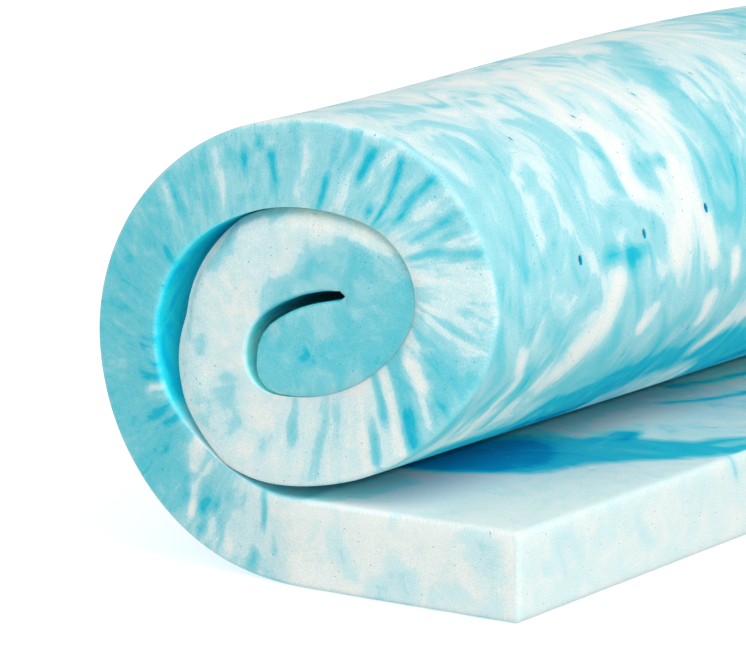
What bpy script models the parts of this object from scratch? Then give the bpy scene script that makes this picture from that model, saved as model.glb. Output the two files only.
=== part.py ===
# Foam mattress topper, rolled two turns with its tail end lying flat.
# One slab of foam. X runs across the roll, Y along its axis, Z up.
# The origin is the centre of the footprint, on the floor.
import bpy
import math
import numpy as np

# Slab
THICKNESS = 0.0762  # nominal thickness of the slab
WIDTH = 1.3716  # width of the slab, the roll's length along Y
STEP = 0.001  # step used to trace a path
FACE_EASE = 0.053  # length over which one bend of the underside eases into the next
SEAM_EASE = 0.038  # the same on the top face, which bends tighter
GAP_EASE = 0.030  # length over which the gap between two wraps eases

# Roll
BELLY = 0.06  # how much fuller the roll is at mid length than at its ends
BELLY_START = 0.3 * THICKNESS  # height over the tail at which the fullness is complete
EDGE_DRAW = 0.0210  # how far a bend draws its outer edge in from the end faces
MOST_BEND = 0.75 / THICKNESS  # sharpest bend that draws the edge in
DRAW_EASE = 0.092  # length over which the drawn edge eases out
DRAW_FADES = ("right", "low_right")  # sections where the drawn edge fades out under the roll
JOIN = 0.075  # length over which the underside meets the wrap below it
TIP_REACH = 0.6  # how far the slit's tip reaches past its last points, as a share of the gap

# Cut edges
EDGE_ROUND = 0.0035  # rounding of the open edges
TOUCH_ROUND = 0.001  # least rounding, where two wraps touch
GAP_ROUND = 0.35  # rounding of an edge beside a gap, as a share of the gap
ROUND_ANGLES = (0.0, 45.0, 90.0)  # degrees round each cut edge

# Mesh
STATIONS = 11  # sections between the two rounded ends
RING_PITCH = 0.0135  # spacing of the points round a section
FLAT_PITCH = 0.060  # the same where the slab lies flat
FLAT_BEND = 0.3  # bend, in radians a metre, below which it counts as flat
SHARP_ANGLE = 40.0  # degrees between faces that are shaded as an edge

# Vent holes
HOLE_RADIUS = 0.0032
HOLE_STRETCH = 1.45  # a hole is longer round the roll, where the foam is stretched
HOLE_DEPTH = 0.030
HOLE_SIDES = 8
HOLE_PROUD = 0.006  # how far a punch stands out of the foam before it cuts

# The slab's underside, from the tail's end round the outside of the roll
UNDERSIDE = (
    # section, length_mm, turn_deg
    ("tail", 245, 0.0),
    ("heel", 93, 31.3),
    ("low_left", 140, 37.5),
    ("left", 157, 52.0),
    ("high_left", 137, 34.7),
    ("crown", 168, 38.3),
    ("high_right", 158, 60.1),
    ("right", 115, 54.2),
    ("low_right", 119, 29.9),
    ("under", 80, 18.3),
)

# The slab's top face, from the tail's end to the tip of the slit in the core
TOP_FACE = (
    # section, length_mm, turn_deg, gap_mm to the next wrap at the section's end
    ("tail", 232, 0.0, 9.0),
    ("heel", 64, 28.8, 4.0),
    ("low_left", 67, 24.5, 9.0),
    ("left", 92, 51.4, 22.0),
    ("high_left", 76, 38.0, 16.0),
    ("crown", 103, 33.5, 2.0),
    ("high_right", 72, 17.8, 1.5),
    ("right", 49, 39.3, 1.5),
    ("low_right", 72, 72.8, 1.5),
    ("under", 104, 42.2, 1.5),
    ("inner_heel", 47, 15.3, 2.5),
    ("inner_left", 41, 83.0, 10.5),
    ("inner_top", 46, 58.7, 9.5),
    ("slit", 82, 31.4, 4.5),
)
FREE_END = ("inner_left", 0.55)  # section and share of it where the free end faces

# Rows of vent holes. Along is measured from the tail's end, first from the near end.
# Each hole further from the near end stands drift_mm further along.
HOLE_ROWS = (
    # face, along_mm, first_mm, pitch_mm, drift_mm, count
    ("underside", 986, 142, 104, -5.6, 4),
    ("underside", 1107, 143, 101, -6.0, 3),
    ("underside", 1224, 151, 96, -10.0, 3),
    ("top_face", 76, 235, 0, 0.0, 1),
    ("top_face", 159, 234, 0, 0.0, 1),
)


def eased(values, length):
    """Values sampled every STEP, averaged over this length."""
    count = max(3, round(length / STEP)) // 2 * 2 + 1
    kernel = np.hanning(count + 2)[1:-1]
    kernel /= kernel.sum()
    return np.convolve(np.pad(values, count, mode="edge"), kernel, mode="same")[count:-count]


def smooth_step(value):
    value = np.clip(value, 0.0, 1.0)
    return value * value * (3.0 - 2.0 * value)


def traced(sections, start_height, ease):
    """Follows a table of lengths and turns from the tail's end towards -X."""
    lengths = np.array([row[1] for row in sections]) / 1000.0
    turns = np.radians([row[2] for row in sections])
    ends = np.concatenate([[0.0], np.cumsum(lengths)])
    count = round(ends[-1] / STEP)
    middles = (np.arange(count) + 0.5) * STEP
    section = np.clip(np.searchsorted(ends, middles, side="right") - 1, 0, len(lengths) - 1)
    bend = eased((turns / lengths)[section], ease)
    heading = math.pi - np.concatenate([[0.0], np.cumsum(bend * STEP)])
    between = (heading[1:] + heading[:-1]) / 2.0
    x = np.concatenate([[0.0], np.cumsum(np.cos(between) * STEP)])
    z = start_height + np.concatenate([[0.0], np.cumsum(np.sin(between) * STEP)])
    along = np.arange(count + 1) * STEP
    names = [row[0] for row in sections]
    return {
        "along": along,
        "points": np.stack([x, z], axis=1),
        "inward": np.stack([np.sin(heading), -np.cos(heading)], axis=1),
        "bend": np.interp(along, middles, bend),
        "ends": ends,
        "starts": dict(zip(names, ends[:-1])),
        "lengths": dict(zip(names, lengths)),
    }


def at(path, key, along):
    """A traced value at these lengths along the path."""
    values = path[key]
    if values.ndim == 1:
        return np.interp(along, path["along"], values)
    return np.stack([np.interp(along, path["along"], column) for column in values.T], axis=1)


def spaced(path, start, end):
    """Lengths along a path, closer together where it bends."""
    inner = (path["along"] >= start) & (path["along"] <= end)
    pitch = np.where(path["bend"][inner] > FLAT_BEND, RING_PITCH, FLAT_PITCH)
    progress = np.concatenate([[0.0], np.cumsum(STEP / pitch[1:])])
    count = max(2, math.ceil(progress[-1])) + 1
    return np.interp(np.linspace(0.0, progress[-1], count), progress, path["along"][inner])


def drawn_edge(under):
    """How far each point of the underside's edge is drawn in from the end faces."""
    draw = EDGE_DRAW * np.minimum(eased(under["bend"], DRAW_EASE), MOST_BEND) * THICKNESS
    first, last = DRAW_FADES
    fade_start = under["starts"][first]
    fade_end = under["starts"][last] + under["lengths"][last]
    return draw * smooth_step((fade_end - under["along"]) / (fade_end - fade_start))


def section_ring(under, top):
    """The section's outline, running clockwise from the tail's lower corner.

    Gives its points, how far each cut edge is rounded and drawn in, and the index of the free end.
    """
    seam_start = top["ends"][1]
    tip = top["ends"][-1]
    gaps = np.array([TOP_FACE[0][3]] + [row[3] for row in TOP_FACE]) / 1000.0
    gap = eased(np.interp(top["along"], top["ends"], gaps), GAP_EASE)

    # The inner wraps lie a gap inside the top face, so that the layers never touch
    seam_along = spaced(top, seam_start, tip)
    seam_gap = np.interp(seam_along, top["along"], gap)
    seam = at(top, "points", seam_along) + at(top, "inward", seam_along) * seam_gap[:, None]

    outer_along = spaced(under, EDGE_ROUND, under["ends"][-1])
    meet = smooth_step(1.0 - (outer_along[-1] - outer_along) / JOIN)
    outer = at(under, "points", outer_along)
    outer += (seam[0] - outer[-1]) * meet[:, None]
    outer_draw = np.interp(outer_along, under["along"], drawn_edge(under))

    face_along = spaced(top, EDGE_ROUND, tip)[::-1]
    face = at(top, "points", face_along)
    face_gap = np.interp(face_along, top["along"], gap)
    open_face = smooth_step((seam_start - face_along) / JOIN + 0.5)

    inward = at(top, "inward", np.array([tip]))[0]
    backward = np.array([-inward[1], inward[0]])
    slit_tip = (seam[-1] + face[0]) / 2.0 + backward * seam_gap[-1] * TIP_REACH

    corner = EDGE_ROUND * (1.0 - math.sqrt(0.5))
    top_corner = [(-corner, THICKNESS - corner), (0.0, THICKNESS - EDGE_ROUND)]
    low_corner = [(0.0, EDGE_ROUND), (-corner, corner)]

    touching = np.clip(seam_gap * GAP_ROUND, TOUCH_ROUND, EDGE_ROUND)
    touching_face = np.clip(face_gap * GAP_ROUND, TOUCH_ROUND, EDGE_ROUND)
    touching_face += (EDGE_ROUND - touching_face) * open_face
    outer_round = EDGE_ROUND + (touching[0] - EDGE_ROUND) * meet
    corner_round = [EDGE_ROUND] * (len(top_corner) + len(low_corner))

    points = np.vstack([outer, seam[1:], [slit_tip], face, top_corner, low_corner])
    rounds = np.concatenate([outer_round, touching[1:], [TOUCH_ROUND], touching_face, corner_round])
    draws = np.concatenate([outer_draw, np.zeros(len(points) - len(outer))])
    name, share = FREE_END
    free_along = top["starts"][name] + share * top["lengths"][name]
    free = len(outer) - 1 + int(np.argmin(np.abs(seam_along - free_along)))
    return points, rounds, draws, free


def outward_normals(points):
    """Normals of a closed ring that runs clockwise, pointing out of the foam."""
    before = points - np.roll(points, 1, axis=0)
    after = np.roll(points, -1, axis=0) - points
    before /= np.linalg.norm(before, axis=1)[:, None]
    after /= np.linalg.norm(after, axis=1)[:, None]
    along = before + after
    along /= np.linalg.norm(along, axis=1)[:, None]
    return np.stack([-along[:, 1], along[:, 0]], axis=1)


def bellied(points, share, lift_off):
    """Swells the roll about the line where it leaves the floor. Share runs from 0 to 1 along it."""
    grow = BELLY * np.sin(math.pi * share) ** 2
    x, z = points[..., 0], points[..., 1]
    over = z - THICKNESS
    rolled = np.where(x < lift_off, 1.0, smooth_step(over / BELLY_START))
    x = x + grow * (x - lift_off) * rolled
    z = z + grow * np.maximum(over, 0.0)
    return x, z


def end_face(points, free):
    """Triangles across the section, walked from the tail to the free end between the slab's faces."""
    count = len(points)
    lower = list(range(0, free + 1))
    upper = list(range(count - 3, free, -1))
    triangles = [(count - 1, count - 2, 0), (0, count - 2, count - 3)]
    i, j = 0, 0
    while i < len(lower) - 1 or j < len(upper) - 1:
        ahead_low = np.inf
        ahead_up = np.inf
        if i < len(lower) - 1:
            ahead_low = np.linalg.norm(points[lower[i + 1]] - points[upper[j]])
        if j < len(upper) - 1:
            ahead_up = np.linalg.norm(points[lower[i]] - points[upper[j + 1]])
        if ahead_low <= ahead_up:
            triangles.append((lower[i], upper[j], lower[i + 1]))
            i += 1
        else:
            triangles.append((lower[i], upper[j], upper[j + 1]))
            j += 1
    return triangles


def slab_mesh(under, top):
    """Corners and faces of the rolled slab, and how far its middle was moved to the origin."""
    points, rounds, draws, free = section_ring(under, top)
    normals = outward_normals(points)
    lift_off = -under["ends"][1]
    count = len(points)

    near_end = []
    for angle in ROUND_ANGLES:
        inset = rounds * (1.0 - math.sin(math.radians(angle)))
        depth = draws + rounds * (1.0 - math.cos(math.radians(angle)))
        near_end.append((points - normals * inset[:, None], depth))
    rings = list(near_end)
    last = near_end[-1][1]
    for step in range(1, STATIONS + 1):
        share = step / (STATIONS + 1)
        rings.append((points, last + (WIDTH - 2.0 * last) * share))
    for ring, depth in reversed(near_end):
        rings.append((ring, WIDTH - depth))

    corners = []
    for ring, depth in rings:
        x, z = bellied(ring, depth / WIDTH, lift_off)
        corners.append(np.stack([x, depth - WIDTH / 2.0, z], axis=1))
    corners = np.vstack(corners)
    middle = (corners[:, 0].min() + corners[:, 0].max()) / 2.0
    corners[:, 0] -= middle
    corners[:, 2] = np.maximum(corners[:, 2], 0.0)

    faces = []
    for ring in range(len(rings) - 1):
        for i in range(count):
            a = ring * count + i
            b = ring * count + (i + 1) % count
            faces.append((a, b, b + count, a + count))
    far = (len(rings) - 1) * count
    for a, b, c in end_face(points, free):
        faces.append((a, b, c))
        faces.append((far + a, far + c, far + b))
    return corners, faces, middle


def hole_places(under, top, middle):
    """Centre, outward direction and direction round the roll of each vent hole."""
    lift_off = -under["ends"][1]
    places = []
    for face, along_mm, first_mm, pitch_mm, drift_mm, number in HOLE_ROWS:
        path = under if face == "underside" else top
        side = -1.0 if face == "underside" else 1.0
        for i in range(number):
            spot = np.array([along_mm + i * drift_mm]) / 1000.0
            point = at(path, "points", spot)[0]
            outward = at(path, "inward", spot)[0] * side
            depth = (first_mm + i * pitch_mm) / 1000.0
            x, z = bellied(point, depth / WIDTH, lift_off)
            where = np.array([x - middle, depth - WIDTH / 2.0, z])
            out = np.array([outward[0], 0.0, outward[1]])
            round_way = np.array([outward[1], 0.0, -outward[0]])
            places.append((where, out, round_way))
    return places


def punch_mesh(places):
    """A straight oval prism through the foam's surface at each hole."""
    corners, faces = [], []
    for where, out, round_way in places:
        base = len(corners)
        for level in (-HOLE_DEPTH, HOLE_PROUD):
            for i in range(HOLE_SIDES):
                angle = 2.0 * math.pi * (i + 0.5) / HOLE_SIDES
                across = np.array([0.0, HOLE_RADIUS * math.sin(angle), 0.0])
                round_roll = round_way * HOLE_RADIUS * HOLE_STRETCH * math.cos(angle)
                corners.append(where + out * level + round_roll + across)
        low = [base + i for i in range(HOLE_SIDES)]
        high = [base + HOLE_SIDES + i for i in range(HOLE_SIDES)]
        faces.append(tuple(low[::-1]))
        faces.append(tuple(high))
        for i in range(HOLE_SIDES):
            j = (i + 1) % HOLE_SIDES
            faces.append((low[i], low[j], high[j], high[i]))
    return corners, faces


def foam_material():
    material = bpy.data.materials.new("foam")
    material.use_nodes = True
    shader = material.node_tree.nodes["Principled BSDF"]
    shader.inputs["Base Color"].default_value = (0.62, 0.85, 0.90, 1.0)
    shader.inputs["Roughness"].default_value = 0.92
    shader.inputs["Metallic"].default_value = 0.0
    return material


def add_object(name, corners, faces):
    mesh = bpy.data.meshes.new(name)
    mesh.from_pydata([tuple(map(float, c)) for c in corners], [], faces)
    mesh.validate()
    mesh.update()
    item = bpy.data.objects.new(name, mesh)
    bpy.context.scene.collection.objects.link(item)
    return item


for leftover in list(bpy.data.objects):
    bpy.data.objects.remove(leftover, do_unlink=True)

under_path = traced(UNDERSIDE, 0.0, FACE_EASE)
top_path = traced(TOP_FACE, THICKNESS, SEAM_EASE)

slab_corners, slab_faces, slab_middle = slab_mesh(under_path, top_path)
topper = add_object("topper_foam", slab_corners, slab_faces)
topper.data.materials.append(foam_material())

punch_corners, punch_faces = punch_mesh(hole_places(under_path, top_path, slab_middle))
punch = add_object("vent_punch", punch_corners, punch_faces)
punch.hide_render = True
punch.display_type = "WIRE"

vents = topper.modifiers.new("vents", "BOOLEAN")
vents.operation = "DIFFERENCE"
vents.solver = "EXACT"
vents.object = punch

topper.data.shade_smooth()
topper.data.set_sharp_from_angle(angle=math.radians(SHARP_ANGLE))
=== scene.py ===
import bpy
import math
import numpy as np
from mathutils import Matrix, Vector, noise


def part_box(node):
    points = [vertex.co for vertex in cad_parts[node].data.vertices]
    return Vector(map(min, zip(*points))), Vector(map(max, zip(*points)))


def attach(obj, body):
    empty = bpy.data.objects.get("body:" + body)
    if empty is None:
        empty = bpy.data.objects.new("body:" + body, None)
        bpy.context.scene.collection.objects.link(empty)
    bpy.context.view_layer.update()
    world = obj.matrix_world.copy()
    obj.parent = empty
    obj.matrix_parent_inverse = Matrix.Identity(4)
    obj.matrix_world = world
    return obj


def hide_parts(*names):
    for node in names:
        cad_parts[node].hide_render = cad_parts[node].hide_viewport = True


# Rolled foam mattress topper: one marbled slab, two turns, its tail lying flat.
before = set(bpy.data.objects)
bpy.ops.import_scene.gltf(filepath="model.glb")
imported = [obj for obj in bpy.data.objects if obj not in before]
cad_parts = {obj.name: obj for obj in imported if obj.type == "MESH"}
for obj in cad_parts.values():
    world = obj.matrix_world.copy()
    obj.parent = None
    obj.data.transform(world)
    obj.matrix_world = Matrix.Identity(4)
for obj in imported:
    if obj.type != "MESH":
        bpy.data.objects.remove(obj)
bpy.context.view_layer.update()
scene = bpy.context.scene

# Sizes of the slab and its roll, in metres where a note names no other unit
slab = {
    "thickness": 0.0762,
    "width": 1.3716,  # along the roll
    "traceStep": 0.001,
    "undersideEase": 0.053,  # how softly one bend runs into the next
    "topFaceEase": 0.038,
    "gapEase": 0.030,
    "join": 0.075,  # length over which the outside runs into the wrap below it
    "tipReach": 0.6,  # how far the slit runs to a point, as a share of its gap
    "belly": 0.06,  # how much fuller the roll is at mid length
    "bellyStart": 0.3,  # height over the tail, as a share of the thickness
    "edgeDraw": 0.021,  # how far a bend draws its outer edge in from the ends
    "mostBend": 0.75,
    "drawEase": 0.092,
    "edgeRound": 0.0045,  # rounding of the cut edges
    "touchRound": 0.0003,  # the least of it, where two wraps touch
    "gapRound": 0.35,  # and its share of the gap where they don't
    "cornerRound": 0.0060,  # the two long edges of the tail
    "bulge": [  # along mm, how far the inner wrap's outer edge is set back mm
        (1480, 0), (1600, 7), (1700, 11), (1790, 11), (1860, 9), (1950, 0),
    ],
    "swell": [(236, 0.0), (275, 3.2), (330, 3.2), (375, 0.0)],  # along the inside mm, pressed up mm
    "swellEase": 0.030,
    "tipFade": 0.016,  # length over which the cut edge's rounding fades towards the slit's tip
    "tipRound": 0.2,  # share of it that is left there
    "bulgeReach": 0.20,  # share of the thickness over which the set-back edge curves away
    "underside": [  # stretch, length mm, turn degrees
        ("tail", 245, 0.0),
        ("heel", 93, 31.3),
        ("lowLeft", 140, 37.5),
        ("left", 157, 52.0),
        ("highLeft", 137, 34.7),
        ("crown", 168, 38.3),
        ("highRight", 158, 60.1),
        ("right", 115, 54.2),
        ("lowRight", 119, 29.9),
        ("under", 80, 18.3),
    ],
    "topFace": [  # stretch, length mm, turn degrees, gap mm to the next wrap at its end
        ("tail", 232, 0.0, 9.0),
        ("heel", 64, 28.8, 4.0),
        ("lowLeft", 67, 24.5, 9.0),
        ("left", 92, 51.4, 22.0),
        ("highLeft", 76, 38.0, 9.5),
        ("crown", 45, 14.6, 1.2),
        ("crownEnd", 58, 18.9, 0.3),
        ("highRight", 72, 17.8, 0.12),
        ("right", 49, 39.3, 0.12),
        ("lowRight", 72, 72.8, 0.12),
        ("under", 104, 42.2, 0.12),
        ("innerHeel", 47, 15.3, 1.5),
        ("innerLeft", 41, 83.0, 10.5),
        ("innerTop", 46, 58.7, 9.5),
        ("slit", 82, 31.4, 8.0),
    ],
    "freeEnd": ("innerLeft", 0.55),  # the slab's other end: a stretch, and a share of it
}


def smoothStep(value):
    value = np.clip(value, 0.0, 1.0)
    return value * value * (3.0 - 2.0 * value)


def eased(values, length):
    count = max(3, round(length / slab["traceStep"])) // 2 * 2 + 1
    kernel = np.hanning(count + 2)[1:-1]
    kernel /= kernel.sum()
    return np.convolve(np.pad(values, count, mode="edge"), kernel, mode="same")[count:-count]


def tracePath(rows, startHeight, ease):
    # walks a table of lengths and turns from the tail's end towards -X
    step = slab["traceStep"]
    lengths = np.array([row[1] for row in rows]) / 1000.0
    turns = np.radians([row[2] for row in rows])
    ends = np.concatenate([[0.0], np.cumsum(lengths)])
    count = round(ends[-1] / step)
    middles = (np.arange(count) + 0.5) * step
    stretch = np.clip(np.searchsorted(ends, middles, side="right") - 1, 0, len(lengths) - 1)
    bend = eased((turns / lengths)[stretch], ease)
    heading = math.pi - np.concatenate([[0.0], np.cumsum(bend * step)])
    between = (heading[1:] + heading[:-1]) / 2.0
    x = np.concatenate([[0.0], np.cumsum(np.cos(between) * step)])
    z = startHeight + np.concatenate([[0.0], np.cumsum(np.sin(between) * step)])
    along = np.arange(count + 1) * step
    names = [row[0] for row in rows]
    return {
        "along": along,
        "points": np.stack([x, z], axis=1),
        "inward": np.stack([np.sin(heading), -np.cos(heading)], axis=1),
        "bend": np.interp(along, middles, bend),
        "ends": ends,
        "starts": dict(zip(names, ends[:-1])),
        "lengths": dict(zip(names, lengths)),
    }


def readAt(places, values, wanted):
    # one value or a list of points, read at these places
    if values.ndim == 1:
        return np.interp(wanted, places, values)
    return np.stack([np.interp(wanted, places, column) for column in values.T], axis=1)


def runLength(points):
    return np.concatenate([[0.0], np.cumsum(np.linalg.norm(np.diff(points, axis=0), axis=1))])


def tipShare(distance):
    # how much of the rounding is left at this distance from the slit's tip
    return slab["tipRound"] + (1.0 - slab["tipRound"]) * smoothStep(distance / slab["tipFade"])


def traceFaces():
    # the outside and the inside of the slab, with how far each cut edge is rounded and drawn in
    under = tracePath(slab["underside"], 0.0, slab["undersideEase"])
    top = tracePath(slab["topFace"], slab["thickness"], slab["topFaceEase"])
    step = slab["traceStep"]
    gapAtEnds = np.array([slab["topFace"][0][3]] + [row[3] for row in slab["topFace"]]) / 1000.0
    gap = eased(np.interp(top["along"], top["ends"], gapAtEnds), slab["gapEase"])
    seamStart, tip = top["ends"][1], top["ends"][-1]

    # the inner wraps lie a gap inside the top face
    seamAlong = np.arange(seamStart, tip + step / 2.0, step)
    seamGap = np.interp(seamAlong, top["along"], gap)
    seam = readAt(top["along"], top["points"], seamAlong)
    seam = seam + readAt(top["along"], top["inward"], seamAlong) * seamGap[:, None]

    outsideAlong = np.arange(0.0, under["ends"][-1] + step / 2.0, step)
    meet = smoothStep(1.0 - (outsideAlong[-1] - outsideAlong) / slab["join"])
    outside = readAt(under["along"], under["points"], outsideAlong)
    outside = outside + (seam[0] - outside[-1]) * meet[:, None]

    draw = np.minimum(eased(under["bend"], slab["drawEase"]) * slab["thickness"], slab["mostBend"])
    fadeStart = under["starts"]["right"]
    fadeEnd = under["starts"]["lowRight"] + under["lengths"]["lowRight"]
    draw = draw * slab["edgeDraw"] * smoothStep((fadeEnd - under["along"]) / (fadeEnd - fadeStart))

    insideAlong = np.arange(0.0, tip + step / 2.0, step)
    inside = readAt(top["along"], top["points"], insideAlong)
    insideGap = np.interp(insideAlong, top["along"], gap)
    swell = eased(np.interp(insideAlong * 1000.0, *zip(*slab["swell"])) / 1000.0, slab["swellEase"])
    inside = inside + readAt(top["along"], top["inward"], insideAlong) * swell[:, None]
    insideGap = insideGap - swell
    inward = top["inward"][-1]
    slitTip = (seam[-1] + inside[-1]) / 2.0
    slitTip = slitTip + np.array([-inward[1], inward[0]]) * seamGap[-1] * slab["tipReach"]

    name, share = slab["freeEnd"]
    free = round((top["starts"][name] + share * top["lengths"][name] - seamStart) / step)
    seamRound = np.clip(seamGap * slab["gapRound"], slab["touchRound"], slab["edgeRound"])
    insideRound = np.clip(insideGap * slab["gapRound"], slab["touchRound"], slab["edgeRound"])
    seamRound *= tipShare(tip - seamAlong)
    insideRound *= tipShare(tip - insideAlong)
    openFace = smoothStep((seamStart - insideAlong) / slab["join"] + 0.5)
    insideRound = insideRound + (slab["edgeRound"] - insideRound) * openFace
    outsideRound = slab["edgeRound"] + (seamRound[0] - slab["edgeRound"]) * meet

    lower = np.vstack([outside, seam[1:free + 1]])
    upper = np.vstack([inside, [slitTip], seam[:free:-1]])
    return {
        "lower": lower,
        "lowerAlong": runLength(lower),
        "lowerDraw": np.concatenate([np.interp(outsideAlong, under["along"], draw), np.zeros(free)]),
        "lowerRound": np.concatenate([outsideRound, seamRound[1:free + 1]]),
        "upper": upper,
        "upperAlong": runLength(upper),
        "upperRound": np.concatenate([insideRound, [seamRound[-1]], seamRound[:free:-1]]),
        "liftOff": -under["ends"][1],
    }


def pairFaces(faces, lookAhead=0.040, easeOver=0.040, leastShare=0.12):
    # for each place on the outside, the nearest place straight through the foam
    step = slab["traceStep"]
    lowerSteps = np.arange(0.0, faces["lowerAlong"][-1], step)
    upperSteps = np.arange(0.0, faces["upperAlong"][-1], step)
    lower = readAt(faces["lowerAlong"], faces["lower"], lowerSteps)
    upper = readAt(faces["upperAlong"], faces["upper"], upperSteps)
    window = round(lookAhead / step)
    found = np.zeros(len(lowerSteps))
    last = 0
    for i, point in enumerate(lower):
        ahead = np.linalg.norm(upper[last:last + window] - point, axis=1)
        last += int(np.argmin(ahead))
        found[i] = upperSteps[last]
    advance = np.maximum(np.diff(eased(found, easeOver)), leastShare * step)
    found = np.concatenate([[0.0], np.cumsum(advance)])
    return lowerSteps, found * upperSteps[-1] / found[-1]


faces = traceFaces()
pairedFrom, pairedTo = pairFaces(faces)
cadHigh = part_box("topper_foam")[1]
lowerLength, upperLength = faces["lowerAlong"][-1], faces["upperAlong"][-1]
print("slab traced:", round(lowerLength, 3), "m outside,", round(upperLength, 3), "m inside")


def toWorld(points, depth):
    # section points at this depth from the near end, swelled at mid length and moved into the frame
    depth = np.broadcast_to(np.asarray(depth, float), (len(points),))
    grow = slab["belly"] * np.sin(math.pi * depth / slab["width"]) ** 2
    over = points[:, 1] - slab["thickness"]
    rolled = smoothStep(over / (slab["bellyStart"] * slab["thickness"]))
    rolled = np.where(points[:, 0] < faces["liftOff"], 1.0, rolled)
    x = points[:, 0] + grow * (points[:, 0] - faces["liftOff"]) * rolled + cadHigh.x
    z = points[:, 1] + grow * np.maximum(over, 0.0)
    return np.stack([x, depth - slab["width"] / 2.0, np.maximum(z, 0.0)], axis=1)


# How finely the mesh is divided, and how its cut ends are finished
grid = {
    "column": 0.003,  # along the slab on the cut ends
    "through": (0.0, 0.05, 0.11, 0.20, 0.34, 0.50, 0.67, 0.84, 1.0),  # rows through the thickness
    "keepSeen": 2,  # every second column runs on along the roll where it shows
    "keepHidden": 5,  # and every fifth elsewhere
    "seenFrom": 0.70,  # outside of the roll that shows, from the tail's end
    "seenTo": 1.40,
    "tailTop": 0.24,
    "stationNear": 0.0056,  # steps along the roll
    "stationFar": 0.0180,
    "nearLength": 0.62,
    "roundAngles": (0.0, 25.0, 50.0, 72.0, 90.0),
    "cornerSteps": 3,
    "unevenCut": 0.0005,  # the knife's waviness on the cut ends
    "cutWaves": (26.0, 2.2),  # waves per metre along the cut and per thickness through it
    "cutHollow": 0.6,
    "farCutSeed": 3.0,  # another waviness on the far cut end
    "edgeLight": 0.35,  # least share of the painted highlight on a cut edge's rounding
    "edgeEnd": 0.3,  # and the painted highlight's share where the rounding runs out
}

# The vent holes, each a stack of oval loops
vents = {
    "radius": 0.0032,
    "stretch": 1.45,  # longer round the roll, where the foam is stretched
    "loops": [  # size, depth m
        (1.30, 0.0000),
        (1.06, 0.0004),
        (0.96, 0.0018),
        (0.90, 0.0080),
        (0.80, 0.0300),
    ],
    "skin": 0.001,  # down to here a loop still has the face's own colour
    "rows": [  # face, along mm, first mm from the near end, pitch mm, drift mm each, count, size
        ("outside", 986, 142, 104, -5.6, 11, 0.60),
        ("outside", 1107, 143, 101, -6.0, 11, 1.00),
        ("outside", 1224, 151, 96, -10.0, 11, 0.62),
        ("outside", 744, 142, 104, -4.0, 11, 0.90),
        ("outside", 623, 142, 104, -3.0, 11, 0.90),
        ("outside", 502, 142, 104, -2.0, 11, 0.90),
        ("outside", 381, 142, 104, -1.0, 11, 0.90),
        ("tailTop", 76, 235, 104, 0.0, 10, 0.55),
        ("tailTop", 159, 234, 104, 0.0, 10, 0.60),
    ],
}


def outlineRim():
    # the slab's outline once round, clockwise from the tail's lower edge
    corner, thick = slab["cornerRound"], slab["thickness"]
    count = round((faces["lowerAlong"][-1] - corner) / grid["column"])
    lowerAt = np.linspace(corner, faces["lowerAlong"][-1], count + 1)
    upperAt = np.maximum.accumulate(np.maximum(np.interp(lowerAt, pairedFrom, pairedTo), corner))
    lower = readAt(faces["lowerAlong"], faces["lower"], lowerAt)
    upper = readAt(faces["upperAlong"], faces["upper"], upperAt)
    flat = runLength((lower + upper) / 2.0) + corner

    arc = [math.pi / 2.0 * i / (grid["cornerSteps"] + 1) for i in range(1, grid["cornerSteps"] + 1)]
    endRows = [corner + (thick - 2.0 * corner) * through for through in grid["through"]]
    tail = [(-corner + corner * math.sin(a), thick - corner + corner * math.cos(a)) for a in arc]
    tail += [(0.0, z) for z in reversed(endRows)]
    tail += [(-corner + corner * math.cos(a), corner - corner * math.sin(a)) for a in arc]
    tail = np.array(tail)

    back = slice(count - 1, None, -1)  # the last column is one shared point
    keep = []
    for i, along in enumerate(lowerAt):
        seen = grid["seenFrom"] < along < grid["seenTo"]
        keep.append(i % (grid["keepSeen"] if seen else grid["keepHidden"]) == 0 or i == count)
    for i in range(count - 1, -1, -1):
        seen = upperAt[i] < grid["tailTop"]
        keep.append(i % (grid["keepSeen"] if seen else grid["keepHidden"]) == 0)
    rest = len(tail)
    lowerDraw = np.interp(lowerAt, faces["lowerAlong"], faces["lowerDraw"])
    bulge = np.interp(lowerAt * 1000.0, *zip(*slab["bulge"])) / 1000.0
    lowerRound = np.interp(lowerAt, faces["lowerAlong"], faces["lowerRound"])
    upperRound = np.interp(upperAt[back], faces["upperAlong"], faces["upperRound"])
    return {
        "count": count,
        "points": np.vstack([lower, upper[back], tail]),
        "along": np.concatenate([lowerAt, upperAt[back], np.zeros(rest)]),
        "across": np.concatenate([lowerAt, lowerAt[back], np.zeros(rest)]),  # the same column on the outside
        "flat": np.concatenate([flat, flat[back], np.zeros(rest)]),
        "through": np.concatenate([np.zeros(count + 1), np.ones(count), tail[:, 1] / thick]),
        "side": np.concatenate([np.zeros(count + 1), np.ones(count), np.full(rest, 2.0)]),
        "draw": np.concatenate([lowerDraw + bulge, np.zeros(count + rest)]),
        "bulge": bulge,
        "round": np.concatenate([lowerRound, upperRound, np.full(rest, slab["edgeRound"])]),
        "keep": np.nonzero(np.array(keep + [True] * rest))[0],
    }


def outwardNormals(points):
    before = points - np.roll(points, 1, axis=0)
    after = np.roll(points, -1, axis=0) - points
    before /= np.linalg.norm(before, axis=1)[:, None]
    after /= np.linalg.norm(after, axis=1)[:, None]
    along = before + after
    along /= np.linalg.norm(along, axis=1)[:, None]
    return np.stack([-along[:, 1], along[:, 0]], axis=1)


rim = outlineRim()
rimNormals = outwardNormals(rim["points"])
print("outline:", len(rim["points"]), "points,", len(rim["keep"]), "run along the roll")

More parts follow.
